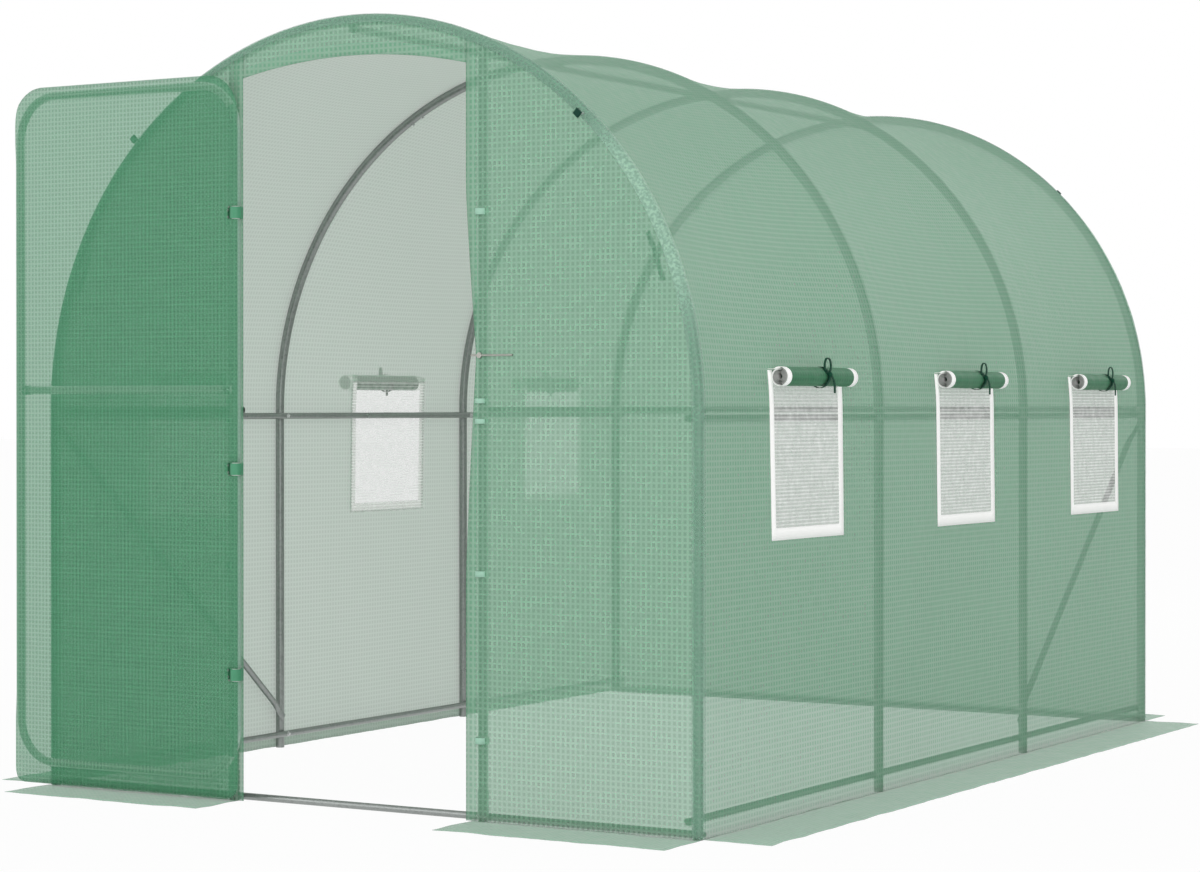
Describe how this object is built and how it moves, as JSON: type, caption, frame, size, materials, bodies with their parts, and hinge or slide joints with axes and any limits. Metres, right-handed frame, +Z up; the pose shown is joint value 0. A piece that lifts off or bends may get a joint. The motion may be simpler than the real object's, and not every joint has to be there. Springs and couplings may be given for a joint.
{
  "type": "polytunnel greenhouse",
  "caption": "Walk-in arched tunnel greenhouse with a galvanised tube frame, a woven green cover with roll-up screened windows, ground skirts and a hinged door.",
  "frame": {"origin": "centre of the plan at ground level", "axes": "+Y runs along the tunnel to the rear, away from the door; +X is to the right of someone facing the door; +Z is up"},
  "size_m": [2.36, 3.38, 2.01],
  "materials": {
    "galvanised_steel": "dull zinc",
    "bright_steel": "bright zinc",
    "hinge_plastic": "moulded",
    "cover_cloth": "woven translucent sheet",
    "window_mesh": "fine insect mesh",
    "window_border": "white hem tape",
    "tie_cord": "woven tie"
  },
  "bodies": {
    "tunnel": {"crown_cover": "cover_cloth", "door_hinges": "hinge_plastic", "door_latch": "bright_steel", "front_base_rail": "galvanised_steel", "front_header_cover": "cover_cloth", "front_hoop_arch": "galvanised_steel", "front_hoop_legs": "galvanised_steel", "front_left_cover": "cover_cloth", "front_mid_rails": "galvanised_steel", "front_right_cover": "cover_cloth", "front_skirts": "cover_cloth", "left_door_post": "galvanised_steel", "left_front_brace": "galvanised_steel", "left_haunch_cover": "cover_cloth", "left_wall_cover": "cover_cloth", "left_window_borders": "window_border", "left_window_rolls": "cover_cloth", "left_window_screens": "window_mesh", "left_window_ties": "tie_cord", "rear_base_rail": "galvanised_steel", "rear_cover": "cover_cloth", "rear_hoop_arch": "galvanised_steel", "rear_hoop_legs": "galvanised_steel", "rear_mid_rail": "galvanised_steel", "rear_skirt": "cover_cloth", "ridge_rail": "galvanised_steel", "right_door_post": "galvanised_steel", "right_haunch_cover": "cover_cloth", "right_rear_brace": "galvanised_steel", "right_wall_cover": "cover_cloth", "right_window_borders": "window_border", "right_window_rolls": "cover_cloth", "right_window_screens": "window_mesh", "right_window_ties": "tie_cord", "second_hoop_arch": "galvanised_steel", "second_hoop_legs": "galvanised_steel", "side_base_rails": "galvanised_steel", "side_mid_rails": "galvanised_steel", "side_skirts": "cover_cloth", "third_hoop_arch": "galvanised_steel", "third_hoop_legs": "galvanised_steel"},
    "door": {"door_stiles": "galvanised_steel", "door_bends": "galvanised_steel", "door_mid_rail": "galvanised_steel", "door_cover": "cover_cloth"}
  },
  "joints": [
    {"name": "door_swing", "type": "hinge", "parent": "tunnel", "child": "door", "pos_m": [-0.347, -1.54, 0], "axis": [0, 0, 1], "range_deg": [0, 180]}
  ]
}
